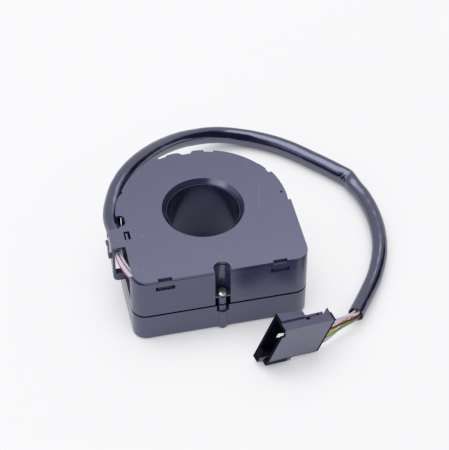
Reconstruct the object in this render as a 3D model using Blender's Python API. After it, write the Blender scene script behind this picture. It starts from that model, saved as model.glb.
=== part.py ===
"""Steering angle sensor.

A two-part plastic case with a snapped top cover stands around a rotor hub, which the steering shaft turns.
A track board and an electronics board lie inside it. Six leads leave by the clip on the left side, run in a
black sleeve round the back and end in a flat connector.

Sizes are in millimetres from the axis of the bore, with the floor at zero height and the front towards -Y.
MM turns them into metres when a mesh is made.
"""
import bmesh
import bpy
from math import asin, ceil, cos, degrees, hypot, pi, radians, sin, sqrt
from mathutils import Vector

MM = 0.001
OVERCUT = 1.0
GAP = 0.3
RUN = 0.35
ARC_STEP = 5.0
ROUND = 72

# Case
HALF_WIDTH = 39.5
FRONT = 39.5
CORNER_RADIUS = 6.2
SIDE_END = -3.4
BACK_RADIUS = 36.8
SHOULDER_PROUD = 1.4
WALL = 2.0
FLOOR = 2.0
CASE_HEIGHT = 37.0
COVER_THICK = 1.3
PARTING_HEIGHT = 14.9
PARTING_STEP = 0.25
PARTING_DEPTH = 0.8
BASE_ROUND = 1.0
LIP_WALL = 1.2
LIP_HEIGHT = 2.2
BOARD_POST_RADIUS = 1.5
FRONT_POST_INSET = 8.5
BACK_POST_INSET = 5.7

# Cover
COVER_INSET = 1.2
COVER_PROUD = 0.2
FUNNEL_SPREAD = 1.45
COLLAR_DEPTH = 2.2
COLLAR_WALL = 1.6
LUG_PROUD = 4.7
LUG_SET_BACK = 1.4
LUG_LENGTH = 11.7
LUG_HOLE_INSET = 1.85
LUG_HOLE_SET_BACK = 2.7
LUG_HOLE_WIDTH = 2.7
LUG_HOLE_LENGTH = 5.0
TONGUE_INSET = 0.75
TONGUE_WIDTH = 0.9
TONGUE_SHORT = 1.0
RELIEF_PROUD = 1.2
RELIEF_RADIUS = 2.4
RELIEF_FRONT = -1.6
RELIEF_BACK = 0.4
RELIEF_DEPTH = 10.5
SNAP_WIDTH = 6.2
SNAP_LEFT_INSET = 14.5
SNAP_RIGHT_INSET = 13.5
SNAP_NOTCH = 1.3
SNAP_REACH = 8.0
SNAP_THICK = 1.0
SNAP_CATCH = 1.5
SNAP_CATCH_FACE = 0.6
WINDOW_WIDTH = 8.5
WINDOW_DROP = 4.2
WINDOW_HEIGHT = 2.3

# The back edge of the cover: angle round the bore, and how many edge depths it stands out past the wall
COVER_EDGE_DEPTH = 1.0
COVER_BACK_EDGE = (
    (24.6, 0.3), (28.0, 0.3), (28.6, 0.85), (35.0, 0.75), (36.0, 0.5), (57.0, 0.4), (70.6, 0.2),
    (71.2, -0.9), (77.5, -0.9), (78.1, 0.2), (86.1, -0.1), (87.9, -1.7), (89.6, -2.3), (91.9, -2.2),
    (94.0, -1.6), (95.7, -0.3), (97.3, 0.2), (99.9, 0.5), (105.0, 0.6), (105.6, 0.0), (110.8, 0.1),
    (112.5, 1.5), (118.0, 1.7), (128.0, 1.9), (135.0, 1.5), (152.6, 1.4), (153.0, 0.8), (155.0, 0.8),
    (155.6, 1.4), (160.0, 2.0), (165.0, 2.3), (172.0, 2.5), (185.0, 2.4),
)

# Screw channel
CHANNEL_X = 0.4
CHANNEL_RADIUS = 3.45
CHANNEL_DEPTH = 5.1
CHANNEL_WALL = 1.2
CHANNEL_RELIEF = 0.35
POST_RADIUS = 2.15
SCREW_DEPTH = 2.0
RECESS_RADIUS = 2.75
RECESS_LOW = 10.8
BULGE_RADIUS = 2.05
BULGE_PROUD = 1.0
EYE_RISE = 4.9
EYE_THICK = 0.8
SCREW_HEAD_RADIUS = 2.08
SCREW_HEAD_HEIGHT = 1.6
SCREW_HEAD_RIM = 0.6
SCREW_HEAD_DOME = 1.2
SCREW_RADIUS = 1.1
SCREW_LENGTH = 7.0
SCREW_TIP = 0.8
CROSS_SLOT = 0.7
CROSS_DEPTH = 0.9

# Cable clip on the left side
CLIP_WALL = 1.2
CLIP_RISE = 0.85
CLIP_ROUND = 2.4
CLIP_BAR_HEIGHT = 4.4
CLIP_BAR_LENGTH = 3.0
CLIP_SET_BACK = 1.2
LATCH_SET_BACK = 3.1
LATCH_WIDTH = 2.8
LATCH_GAP = 0.8
LATCH_THICK = 0.6
LATCH_LENGTH = 9.7
LATCH_RISE = 0.3
LATCH_TIP = 0.6
LATCH_TIP_DROP = 0.9
LATCH_ROOT = 1.0
OPENING_INSET = 6.5
OPENING_GAP = 0.5
OPENING_DROP = 1.0

# Rotor
HUB_BORE = 16.2
HUB_WALL = 1.7
HUB_LIP_WALL = 0.5
HUB_LIP_LENGTH = 1.8
HUB_EDGE = 0.25
HUB_LOW = 1.0
HUB_DROP = 2.0
FLANGE_REACH = 3.6
FLANGE_LOW = 9.0
FLANGE_THICK = 1.5
DRIVE_SLOT_WIDTH = 4.0
DRIVE_SLOT_DEPTH = 3.0
CARRIER_CLEAR = 1.5
CARRIER_THICK = 1.3
CARRIER_BEVEL = 0.8
CARRIER_RIM = 2.0
CARRIER_SIDES = 54
BEARING_WALL = 1.5

# Wipers and tracks, which take a share of the room between the bearing and the carrier's rim
WIPER_THICK = 0.3
WIPER_SHARE = 0.53
SLIT_SHARE = 0.12
WIPER_HEEL = 6.0
WIPER_BEND = 0.5
WIPER_REACH = 6.5
WIPER_TIP = 8.0
WIPER_TIP_LIFT = 0.8
TRACK_BOARD_RISE = 1.0
TRACK_BOARD_THICK = 1.4
TRACK_SHARE = 0.37
TRACK_PROUD = 0.1

# Electronics board
BOARD_RISE = 6.1
BOARD_THICK = 1.6
BOARD_CLEAR = 1.6
LEDGE_SET_BACK = 6.0
LEDGE_LENGTH = 4.0
LEDGE_REACH = 3.0
LEDGE_HEIGHT = 3.0
LEG_PITCH = 1.27
LEG_WIDTH = 0.4
LEG_HEIGHT = 0.35
LEG_REACH = 0.9
CHIP_BEVEL = 0.25
CHIP_HEIGHT = 1.5
CONTROLLER_SIDE = 9.0
CONTROLLER_INSET = 12.0
DRIVER_LENGTH = 5.0
DRIVER_WIDTH = 4.0
DRIVER_SIDE_INSET = 11.5
DRIVER_FRONT_INSET = 18.5
REGULATOR_LENGTH = 6.4
REGULATOR_WIDTH = 6.0
REGULATOR_HEIGHT = 2.3
REGULATOR_INSET = 8.5
REGULATOR_SET_BACK = 3.6
TAB_REACH = 1.4
TAB_NARROW = 0.6
TAB_LOW = 0.1
TAB_HIGH = 0.8
CRYSTAL_INSET = 11.5
CRYSTAL_SET_BACK = 7.6
CRYSTAL_LENGTH = 6.0
CRYSTAL_RADIUS = 2.3
CRYSTAL_HEIGHT = 3.5
CAN_RADIUS = 3.2
CAN_HEIGHT = 5.4
CAN_BASE = 6.8
CAN_BASE_HIGH = 1.0
CAN_ANGLE = 171.4
SMALL_PART_LENGTH = 3.2
SMALL_PART_WIDTH = 1.6
RESISTOR_HEIGHT = 0.6
CERAMIC_HEIGHT = 1.2
SMALL_PART_ANGLES = (38.0, 59.0, 80.0, 101.0, 122.0, 143.0)
PIN_SIZE = 0.8
PIN_INSETS = ((12.0, 6.5), (8.0, 8.0), (6.5, 12.0))

# Cable
LEAD_DIAMETER = 1.2
LEAD_ROW = 1.5
LEAD_SPACING = 2.6
LEAD_DROP_INSET = 8.9
LEAD_DROP_FRONT = 5.9
LEAD_DROP_STEP = 4.0
LEAD_BEND_START = 3.2
LEAD_BEND_MIDDLE = 0.5
LEAD_BEND_DROP = 2.2
LEAD_BEND_END = 5.0
SLEEVE_DIAMETER = 7.5
SLEEVE_SPACING = 8.25
BUNDLE_RADIUS = 1.75
WIRE_STRAIGHT = 3.0
WIRE_ENTRY = 3.5

# Connector, in its own frame: X from the mouth to the rear, Y from the outer wall to the inner, Z across
CONNECTOR_AT = (13.55, -70.49, 7.95)
CONNECTOR_TURN = (9.24, 16.56, 18.2)
PLUG_LENGTH = 27.0
PLUG_WIDTH = 22.0
PLUG_THICK = 4.3
COLLAR_LENGTH = 13.0
COLLAR_THICK = 9.2
COLLAR_TAPER = 1.6
COLLAR_SKIN = 1.2
COLLAR_STEP = 0.9
COLLAR_BAND = 4.6
KEY_DEPTH = 6.6
KEY_THICK = 3.8
KEY_LENGTH = 9.0
RAIL_DEPTH = 3.5
RAIL_THICK = 3.4
RAIL_SET_IN = 0.8
RAIL_START = 0.5
RAIL_LENGTH = 13.2
MOUTH_DEPTH = 11.5
MOUTH_BASE_CUT = 1.5
MOUTH_NOTCH_DEPTH = 1.8
MOUTH_NOTCH_WIDTH = 3.0
MOUTH_NOTCH_Z = 18.5
KEY_WINDOW = 4.4
KEY_WINDOW_X = 7.9
KEY_WINDOW_Z = 7.4
TERMINAL_PITCH = 2.95
TERMINAL_FIRST = 3.6
TERMINAL_SIZE = 0.9
TERMINAL_LENGTH = 11.0
TERMINAL_PROUD = 3.0
WIRE_HOLE_RADIUS = 0.9
WIRE_HOLE_DEPTH = 2.0
LOCK_THICK = 1.1
LOCK_LENGTH = 9.6
LOCK_WIDTH = 19.5
LOCK_NOTCH = 1.3
LOCK_NOTCH_AT = 6.1
LOCK_NOTCH_DEPTH = 0.6
BODY_NOTCH = 2.3
BODY_NOTCH_DEPTH = 1.2
NOTCH_HEIGHT = 1.5
NUB_LENGTH = 3.3
NUB_HEIGHT = 2.9
NUB_WIDTH = 4.0
NUB_FROM_REAR = 0.5

SHOULDER_RADIUS = BACK_RADIUS + SHOULDER_PROUD
COVER_LEFT = HALF_WIDTH - COVER_INSET
COVER_LOW = CASE_HEIGHT - COVER_THICK
UPPER_TOP = COVER_LOW - GAP
UPPER_LOW = PARTING_HEIGHT + GAP / 2
LOWER_TOP = PARTING_HEIGHT - GAP / 2
LIP_TOP = LOWER_TOP + LIP_HEIGHT
LIP_INSET = WALL + GAP
TRAY_INSET = LIP_INSET + LIP_WALL
LUG_REACH = HALF_WIDTH + LUG_PROUD
LUG_BACK = SIDE_END - LUG_SET_BACK
LUG_FRONT = LUG_BACK - LUG_LENGTH
LUG_HOLE_LEFT = LUG_HOLE_INSET - HALF_WIDTH
LUG_HOLE_BACK = LUG_BACK - LUG_HOLE_SET_BACK
RELIEF_X = -(BACK_RADIUS + RELIEF_PROUD)
SNAP_PLACES = (SNAP_LEFT_INSET - HALF_WIDTH, HALF_WIDTH - SNAP_RIGHT_INSET)
WINDOW_HIGH = CASE_HEIGHT - WINDOW_DROP
WINDOW_LOW = WINDOW_HIGH - WINDOW_HEIGHT
CHANNEL_Y = -(FRONT - CHANNEL_DEPTH + CHANNEL_RADIUS)
SCREW_Y = -(FRONT - SCREW_DEPTH)
EYE_LOW = PARTING_HEIGHT + EYE_RISE
CLIP_LOW = UPPER_LOW + CLIP_RISE
CLIP_BACK = LUG_BACK - CLIP_SET_BACK
LATCH_OUTER = LUG_REACH + LATCH_GAP + LATCH_THICK
LATCH_TOP = CASE_HEIGHT + LATCH_RISE
LATCH_LOW = LATCH_TOP - LATCH_LENGTH
LATCH_FRONT = LUG_FRONT + LATCH_SET_BACK
LATCH_BACK = LATCH_FRONT + LATCH_WIDTH
HUB_RADIUS = HUB_BORE + HUB_WALL
HUB_LIP = HUB_BORE + HUB_LIP_WALL
HUB_TOP = CASE_HEIGHT - HUB_DROP
COVER_BORE_LOW = HUB_LIP + RUN
COVER_BORE_TOP = COVER_BORE_LOW + FUNNEL_SPREAD
FLANGE_RADIUS = HUB_RADIUS + FLANGE_REACH
BEARING_RADIUS = HUB_RADIUS + RUN
BEARING_OUTER = BEARING_RADIUS + BEARING_WALL
RECESS_BACK = -SCREW_Y - RECESS_RADIUS - CHANNEL_WALL
CARRIER_RADIUS = min(HALF_WIDTH - TRAY_INSET, BACK_RADIUS - TRAY_INSET, RECESS_BACK) - CARRIER_CLEAR
CARRIER_TOP = FLANGE_LOW - GAP
CARRIER_LOW = CARRIER_TOP - CARRIER_THICK
BEARING_TOP = CARRIER_LOW - GAP
WIPER_RADIUS = (BEARING_OUTER + CARRIER_RADIUS) / 2
WIPER_WIDTH = (CARRIER_RADIUS - BEARING_OUTER) * WIPER_SHARE
WIPER_SLIT = WIPER_WIDTH * SLIT_SHARE
TRACK_WIDTH = WIPER_WIDTH * TRACK_SHARE
TRACK_BOARD_LOW = FLOOR + TRACK_BOARD_RISE
TRACK_BOARD_TOP = TRACK_BOARD_LOW + TRACK_BOARD_THICK
TRACK_TOP = TRACK_BOARD_TOP + TRACK_PROUD
BOARD_LOW = PARTING_HEIGHT + BOARD_RISE
BOARD_TOP = BOARD_LOW + BOARD_THICK
BOARD_BORE = HUB_RADIUS + BOARD_CLEAR
PART_SEAT = BOARD_TOP + GAP
PART_RING = (BOARD_BORE + BACK_RADIUS - WALL) / 2
OPENING_FRONT = OPENING_INSET - FRONT
OPENING_BACK = LUG_FRONT - OPENING_GAP
OPENING_LOW = BOARD_LOW - OPENING_DROP
TERMINAL_Y = PLUG_THICK / 2

for leftover in list(bpy.data.objects):
    bpy.data.objects.remove(leftover, do_unlink=True)


def finish(name, colour, roughness, metallic=0.0):
    """A Principled material."""
    material = bpy.data.materials.new(name)
    material.use_nodes = True
    shader = material.node_tree.nodes["Principled BSDF"]
    shader.inputs["Base Color"].default_value = (*colour, 1.0)
    shader.inputs["Roughness"].default_value = roughness
    shader.inputs["Metallic"].default_value = metallic
    return material


CASE_PLASTIC = finish("case_plastic", (0.045, 0.045, 0.060), 0.42)
HUB_PLASTIC = finish("hub_plastic", (0.035, 0.037, 0.048), 0.38)
CARRIER_PLASTIC = finish("carrier_plastic", (0.55, 0.53, 0.48), 0.50)
BOARD_LAMINATE = finish("board_laminate", (0.03, 0.16, 0.07), 0.40)
CHIP_BLACK = finish("chip_black", (0.02, 0.02, 0.02), 0.50)
CERAMIC = finish("ceramic", (0.45, 0.36, 0.26), 0.55)
TIN = finish("tin", (0.70, 0.70, 0.68), 0.30, 1.0)
SPRING_METAL = finish("spring_metal", (0.72, 0.52, 0.28), 0.30, 1.0)
SCREW_STEEL = finish("screw_steel", (0.80, 0.76, 0.72), 0.22, 1.0)
SLEEVE_VINYL = finish("sleeve_vinyl", (0.030, 0.030, 0.042), 0.36)
PLUG_PLASTIC = finish("plug_plastic", (0.050, 0.050, 0.060), 0.45)
WIRE_COLOURS = (
    finish("wire_violet", (0.62, 0.42, 0.66), 0.35),
    finish("wire_pink", (0.74, 0.50, 0.62), 0.35),
    finish("wire_brown", (0.22, 0.07, 0.05), 0.35),
    finish("wire_yellow", (0.78, 0.58, 0.22), 0.35),
    finish("wire_green", (0.30, 0.62, 0.18), 0.35),
    finish("wire_white", (0.74, 0.70, 0.74), 0.35),
)

# The box round the rigid body has its middle at the frame's origin, so the bore axis stands beside it
bore_axis = bpy.data.objects.new("bore_axis", None)
bore_axis.location = (
    (LATCH_OUTER + LATCH_TIP - HALF_WIDTH) / 2 * MM,
    (FRONT + BULGE_PROUD - BACK_RADIUS) / 2 * MM,
    0.0,
)
bpy.context.scene.collection.objects.link(bore_axis)

plug_axis = bpy.data.objects.new("plug_axis", None)
plug_axis.parent = bore_axis
plug_axis.location = Vector(CONNECTOR_AT) * MM
plug_axis.rotation_euler = [radians(turn) for turn in CONNECTOR_TURN]
bpy.context.scene.collection.objects.link(plug_axis)


def add_object(name, shape, material=None, parent=bore_axis):
    """An object from a bmesh in millimetres, its faces turned outwards."""
    bmesh.ops.remove_doubles(shape, verts=shape.verts, dist=0.001)
    bmesh.ops.recalc_face_normals(shape, faces=shape.faces)
    bmesh.ops.scale(shape, vec=(MM, MM, MM), verts=shape.verts)
    mesh = bpy.data.meshes.new(name)
    shape.to_mesh(mesh)
    shape.free()
    obj = bpy.data.objects.new(name, mesh)
    obj.parent = parent
    bpy.context.scene.collection.objects.link(obj)
    if material:
        mesh.materials.append(material)
    return obj


def combine(target, piece, operation):
    """The target's mesh with another solid joined to it or cut from it."""
    modifier = target.modifiers.new(operation, "BOOLEAN")
    modifier.operation = operation
    modifier.object = piece
    modifier.solver = "EXACT"
    bpy.context.view_layer.update()
    evaluated = target.evaluated_get(bpy.context.evaluated_depsgraph_get())
    mesh = bpy.data.meshes.new_from_object(evaluated)
    target.modifiers.clear()
    target.data = mesh
    bpy.data.objects.remove(piece, do_unlink=True)


def cut(target, *cutters):
    for cutter in cutters:
        combine(target, cutter, "DIFFERENCE")


def fuse(target, *pieces):
    for piece in pieces:
        combine(target, piece, "UNION")


def shade(obj, angle=35.0):
    """Smooth shading with the edges kept sharp."""
    obj.data.shade_smooth()
    obj.data.set_sharp_from_angle(angle=radians(angle))
    return obj


def arc(x, y, radius, start, end, step=ARC_STEP):
    """Points of an arc in plan, both ends included, for angles in degrees."""
    count = max(1, ceil(abs(end - start) / step - 0.001))
    turns = [radians(start + (end - start) * i / count) for i in range(count + 1)]
    return [(x + radius * cos(turn), y + radius * sin(turn)) for turn in turns]


def polar_edge(corners, step=ARC_STEP):
    """An edge about the bore through corners of (angle in degrees, radius)."""
    points = []
    for (start, radius), (end, next_radius) in zip(corners, corners[1:]):
        count = max(1, ceil((end - start) / step - 0.001))
        for i in range(count):
            share = i / count
            turn = radians(start + (end - start) * share)
            reach = radius + (next_radius - radius) * share
            points.append((reach * cos(turn), reach * sin(turn)))
    turn, reach = radians(corners[-1][0]), corners[-1][1]
    return points + [(reach * cos(turn), reach * sin(turn))]


def loft(name, sections, material=None, parent=bore_axis):
    """A closed solid through outlines of as many points at rising heights."""
    shape = bmesh.new()
    loops = [[shape.verts.new((x, y, z)) for x, y in outline] for z, outline in sections]
    for lower, upper in zip(loops, loops[1:]):
        for i in range(len(lower)):
            shape.faces.new((lower[i - 1], lower[i], upper[i], upper[i - 1]))
    shape.faces.new(loops[0])
    shape.faces.new(loops[-1])
    return add_object(name, shape, material, parent)


def prism(name, outline, low, high, material=None, parent=bore_axis):
    return loft(name, [(low, outline), (high, outline)], material, parent)


def rectangle(x_low, x_high, y_low, y_high):
    return [(x_low, y_low), (x_high, y_low), (x_high, y_high), (x_low, y_high)]


def block(name, x_range, y_range, z_range, material=None, parent=bore_axis):
    return prism(name, rectangle(*x_range, *y_range), *z_range, material, parent)


def disc(name, x, y, radius, low, high, material=None, step=360 / 24):
    return prism(name, arc(x, y, radius, 0, 360 - step, step), low, high, material)


def turned(name, profile, material=None, sides=ROUND):
    """A ring turned about the bore axis from its section, a loop of (radius, height)."""
    shape = bmesh.new()
    section = [shape.verts.new((radius, 0.0, z)) for radius, z in profile]
    edges = [shape.edges.new((section[i - 1], section[i])) for i in range(len(section))]
    bmesh.ops.spin(
        shape, geom=section + edges, axis=(0, 0, 1), cent=(0, 0, 0), angle=2 * pi, steps=sides,
        use_merge=True,
    )
    return add_object(name, shape, material)


def side_prism(name, outline, low, high, material=None, along="Y", parent=bore_axis):
    """A prism drawn in a side view of (across, height) and extruded along Y or X."""
    shape = bmesh.new()
    loops = []
    for depth in (low, high):
        if along == "Y":
            loops.append([shape.verts.new((across, depth, z)) for across, z in outline])
        else:
            loops.append([shape.verts.new((depth, across, z)) for across, z in outline])
    for i in range(len(outline)):
        shape.faces.new((loops[0][i - 1], loops[0][i], loops[1][i], loops[1][i - 1]))
    shape.faces.new(loops[0])
    shape.faces.new(loops[1])
    return add_object(name, shape, material, parent)


def case_outline(inset=0.0):
    """Plan of the case walls: a square front with round corners, stepped sides and a round back.

    The left side steps in further, to make room for the sleeve."""
    half = HALF_WIDTH - inset
    front = FRONT - inset
    corner = CORNER_RADIUS - inset
    shoulder = SHOULDER_RADIUS - inset
    back = BACK_RADIUS - inset
    right_step = SIDE_END + (inset if HALF_WIDTH < SHOULDER_RADIUS else -inset)
    left_step = SIDE_END + (inset if HALF_WIDTH < BACK_RADIUS else -inset)
    edge = [(3.0, shoulder), (24.0, shoulder), (26.0, back), (177.0, back)]
    points = arc(corner - half, corner - front, corner, 180, 270, 15.0)
    points += arc(half - corner, corner - front, corner, 270, 360, 15.0)
    points += [(half, right_step), (sqrt(shoulder ** 2 - right_step ** 2), right_step)] + polar_edge(edge)
    return points + [(-sqrt(back ** 2 - left_step ** 2), left_step), (-half, left_step)]


def channel_outline(radius, front):
    """Plan of the screw channel: a half-round back with straight sides to the front."""
    points = arc(CHANNEL_X, CHANNEL_Y, radius, 0, 180, 15.0)
    return points + [(CHANNEL_X - radius, -front), (CHANNEL_X + radius, -front)]


def recess_outline(radius, front):
    points = arc(CHANNEL_X, SCREW_Y, radius, 0, 180, 15.0)
    return points + [(CHANNEL_X - radius, -front), (CHANNEL_X + radius, -front)]


def relief_outline():
    """The long round notch where the sleeve goes into the clip."""
    points = arc(RELIEF_X, RELIEF_BACK, RELIEF_RADIUS, 0, 180, 15.0)
    return points + arc(RELIEF_X, RELIEF_FRONT, RELIEF_RADIUS, 180, 360, 15.0)


def cover_outline():
    """Plan of the top cover, with the notches of its back edge and the lug over the cable clip."""
    shoulder = SHOULDER_RADIUS + COVER_PROUD
    edge = [(degrees(asin(SIDE_END / SHOULDER_RADIUS)), shoulder), (24.0, shoulder)]
    edge += [(angle, BACK_RADIUS + steps * COVER_EDGE_DEPTH) for angle, steps in COVER_BACK_EDGE]
    corner = CORNER_RADIUS
    points = arc(corner - COVER_LEFT, corner - FRONT, corner, 180, 270, 15.0)
    points += arc(HALF_WIDTH - corner, corner - FRONT, corner, 270, 360, 15.0)
    points += [(HALF_WIDTH, SIDE_END)] + polar_edge(edge)
    points += [(-COVER_LEFT, LUG_BACK), (-LUG_REACH, LUG_BACK), (-LUG_REACH, LUG_FRONT)]
    return points + [(-COVER_LEFT, LUG_FRONT)]


def make_lower_housing():
    """The tray: floor, walls, the lip that the upper housing fits over, screw post and hub bearing."""
    walls = [
        (0.0, case_outline(BASE_ROUND)),
        (BASE_ROUND * 0.3, case_outline(BASE_ROUND * 0.45)),
        (BASE_ROUND, case_outline(BASE_ROUND * 0.1)),
        (LOWER_TOP - PARTING_STEP, case_outline()),
        (LOWER_TOP - PARTING_STEP, case_outline(PARTING_DEPTH)),
        (LOWER_TOP, case_outline(PARTING_DEPTH)),
    ]
    tray = loft("lower_housing", walls, CASE_PLASTIC)
    fuse(tray, prism("lip", case_outline(LIP_INSET), FLOOR, LIP_TOP))
    cut(tray, prism("tray_room", case_outline(TRAY_INSET), FLOOR, LIP_TOP + OVERCUT))
    bulge_y = -(FRONT + BULGE_PROUD - BULGE_RADIUS)
    fuse(tray, disc("bulge", CHANNEL_X, bulge_y, BULGE_RADIUS, GAP, RECESS_LOW))
    boss_radius = RECESS_RADIUS + CHANNEL_WALL
    boss_high = LOWER_TOP - PARTING_STEP - GAP / 2
    fuse(tray, prism("recess_boss", recess_outline(boss_radius, FRONT - GAP), FLOOR / 2, boss_high))
    cut(tray, prism("recess", recess_outline(RECESS_RADIUS, FRONT + 2 * BULGE_RADIUS), RECESS_LOW, LIP_TOP))
    lip_break = CHANNEL_RADIUS + CHANNEL_WALL + GAP
    break_x = (CHANNEL_X - lip_break, CHANNEL_X + lip_break)
    break_y = (-FRONT - OVERCUT, CHANNEL_Y + lip_break)
    cut(tray, block("lip_break", break_x, break_y, (LOWER_TOP, CASE_HEIGHT)))
    fuse(tray, disc("screw_post", CHANNEL_X, SCREW_Y, POST_RADIUS, RECESS_LOW - GAP, EYE_LOW - GAP))
    screw_low = EYE_LOW + EYE_THICK + GAP - SCREW_LENGTH
    cut(tray, disc("screw_hole", CHANNEL_X, SCREW_Y, SCREW_RADIUS + GAP, screw_low - GAP, CASE_HEIGHT))
    inner = BEARING_RADIUS - GAP
    section = [(inner, GAP), (BEARING_OUTER, GAP), (BEARING_OUTER, BEARING_TOP), (inner, BEARING_TOP)]
    fuse(tray, turned("bearing", section))
    cut(tray, disc("hub_hole", 0, 0, BEARING_RADIUS, -OVERCUT, CASE_HEIGHT, step=360 / ROUND))
    side, front = HALF_WIDTH - FRONT_POST_INSET, FRONT_POST_INSET - FRONT
    back = (BACK_RADIUS - BACK_POST_INSET) * sqrt(0.5)
    for x, y in ((-side, front), (side, front), (-back, back), (back, back)):
        fuse(tray, disc("board_post", x, y, BOARD_POST_RADIUS, FLOOR / 2, TRACK_BOARD_LOW - GAP, step=30))
    return shade(tray)


def make_upper_housing():
    """The open frame of walls with the screw channel, the windows, the lead opening and the cable clip."""
    walls = [
        (UPPER_LOW, case_outline(PARTING_DEPTH)),
        (UPPER_LOW + PARTING_STEP, case_outline(PARTING_DEPTH)),
        (UPPER_LOW + PARTING_STEP, case_outline()),
        (UPPER_TOP, case_outline()),
    ]
    frame = loft("upper_housing", walls, CASE_PLASTIC)
    cut(frame, prism("inner_room", case_outline(WALL), UPPER_LOW - OVERCUT, UPPER_TOP + OVERCUT))
    boss = channel_outline(CHANNEL_RADIUS + CHANNEL_WALL, FRONT - WALL / 2)
    fuse(frame, prism("channel_boss", boss, UPPER_LOW + GAP, UPPER_TOP - GAP))
    channel = channel_outline(CHANNEL_RADIUS, FRONT + OVERCUT)
    cut(frame, prism("channel", channel, UPPER_LOW - OVERCUT, UPPER_TOP + OVERCUT))
    eye = channel_outline(CHANNEL_RADIUS + CHANNEL_WALL / 2, FRONT - GAP / 2)
    fuse(frame, prism("screw_eye", eye, EYE_LOW, EYE_LOW + EYE_THICK))
    cut(frame, disc("eye_hole", CHANNEL_X, SCREW_Y, SCREW_RADIUS + GAP, EYE_LOW - OVERCUT, CASE_HEIGHT))
    front_wall = (-FRONT - OVERCUT, WALL + OVERCUT - FRONT)
    for x in SNAP_PLACES:
        window = (x - WINDOW_WIDTH / 2, x + WINDOW_WIDTH / 2)
        cut(frame, block("window", window, front_wall, (WINDOW_LOW, WINDOW_HIGH)))
    left_wall = (-HALF_WIDTH - OVERCUT, WALL + OVERCUT / 2 - HALF_WIDTH)
    opening_y = (OPENING_FRONT, OPENING_BACK)
    cut(frame, block("lead_opening", left_wall, opening_y, (OPENING_LOW, UPPER_TOP + OVERCUT)))
    relief_low = CASE_HEIGHT - RELIEF_DEPTH
    cut(frame, prism("sleeve_relief", relief_outline(), relief_low, UPPER_TOP + OVERCUT))
    ledge_z = (BOARD_LOW - GAP - LEDGE_HEIGHT, BOARD_LOW - GAP)
    ledge_back = LUG_BACK - LEDGE_SET_BACK
    for x_wall in (-1, 1):
        wall_x = x_wall * (HALF_WIDTH - WALL / 2)
        ledge_x = x_wall * (HALF_WIDTH - WALL - LEDGE_REACH)
        reach = (min(wall_x, ledge_x), max(wall_x, ledge_x))
        fuse(frame, block("side_ledge", reach, (ledge_back - LEDGE_LENGTH, ledge_back), ledge_z))
    back_wall = (BACK_RADIUS - WALL - LEDGE_REACH, BACK_RADIUS - WALL / 2)
    fuse(frame, block("back_ledge", (-LEDGE_LENGTH / 2, LEDGE_LENGTH / 2), back_wall, ledge_z))
    fuse(frame, *clip_pieces())
    return shade(frame)


def clip_pieces():
    """The cable clip: an outer wall, the bar that closes it below and the latch leaf beside it."""
    outer, inner = -LUG_REACH, CLIP_WALL - LUG_REACH
    bar_top = CLIP_LOW + CLIP_BAR_HEIGHT
    root = WALL / 2 - HALF_WIDTH
    hook = arc(outer + CLIP_ROUND, CLIP_LOW + CLIP_ROUND, CLIP_ROUND, 180, 270, 22.5)
    hook += [(root, CLIP_LOW), (root, bar_top), (inner, bar_top), (inner, UPPER_TOP), (outer, UPPER_TOP)]
    bar_front = LUG_FRONT + GAP
    bar_back = bar_front + CLIP_BAR_LENGTH
    side = [(CLIP_BACK, UPPER_TOP), (bar_front + GAP, UPPER_TOP), (bar_front + GAP, bar_top)]
    side += [(bar_back, bar_top), (CLIP_BACK, LATCH_LOW)]
    root = CLIP_WALL / 2 - LUG_REACH
    leaf_out = -LATCH_OUTER
    leaf_in = leaf_out + LATCH_THICK
    root_high = LATCH_LOW + LATCH_ROOT
    leaf = [(root, LATCH_LOW), (leaf_out + LATCH_THICK, LATCH_LOW), (leaf_out, LATCH_LOW + LATCH_THICK)]
    tip_z = LATCH_TOP - LATCH_TIP_DROP
    leaf += [(leaf_out, tip_z - GAP), (leaf_out - LATCH_TIP, tip_z)]
    leaf += [(leaf_in, LATCH_TOP), (leaf_in, root_high), (root, root_high)]
    return (
        side_prism("clip_hook", hook, bar_front, bar_back),
        side_prism("clip_wall", side, outer, inner, along="X"),
        side_prism("clip_latch", leaf, LATCH_FRONT, LATCH_BACK),
    )


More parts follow.
